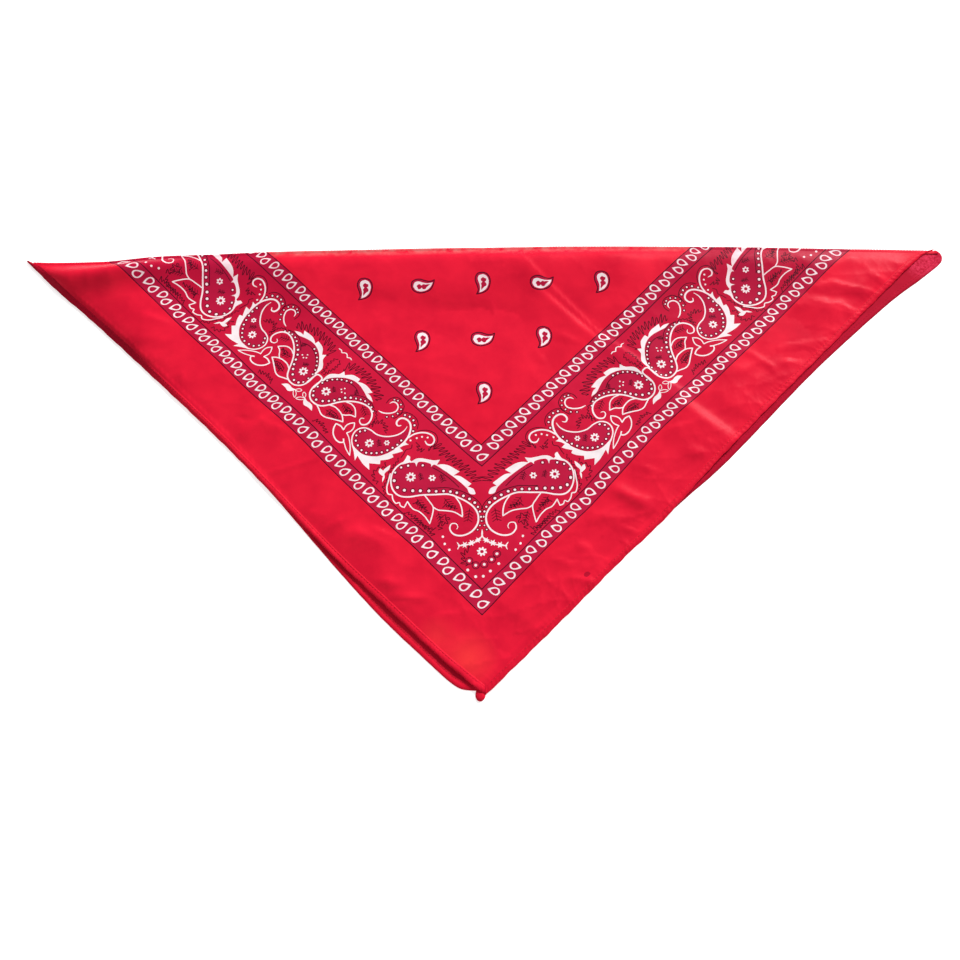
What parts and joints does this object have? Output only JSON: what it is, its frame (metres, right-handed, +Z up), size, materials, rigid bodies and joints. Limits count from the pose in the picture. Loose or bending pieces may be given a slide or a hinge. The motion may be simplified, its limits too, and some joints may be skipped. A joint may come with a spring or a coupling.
{
  "type": "bandana",
  "caption": "Square printed cotton bandana with narrow hems, folded on the diagonal into a flat triangle.",
  "frame": {"origin": "middle of the bounding box's base, on the surface that the folded cloth lies on", "axes": "+X along the fold, to the right seen from the corner; +Y towards the fold; +Z up, square to the cloth"},
  "size_m": [0.802, 0.3982, 0.008],
  "materials": {
    "printed_cotton": "fine plain-weave cotton, soft satin sheen, printed in white and black",
    "cotton_reverse": "fine plain-weave cotton, dull reverse side, the print showing through faintly",
    "hem": "narrow folded cotton hem, lock-stitched and slightly puckered"
  },
  "bodies": {
    "root": {"front_layer": "printed_cotton", "back_layer": "cotton_reverse", "fold_edge": "printed_cotton", "hem_front_left": "hem", "hem_front_right": "hem", "hem_back_left": "hem", "hem_back_right": "hem", "corner_back": "hem"}
  },
  "joints": []
}
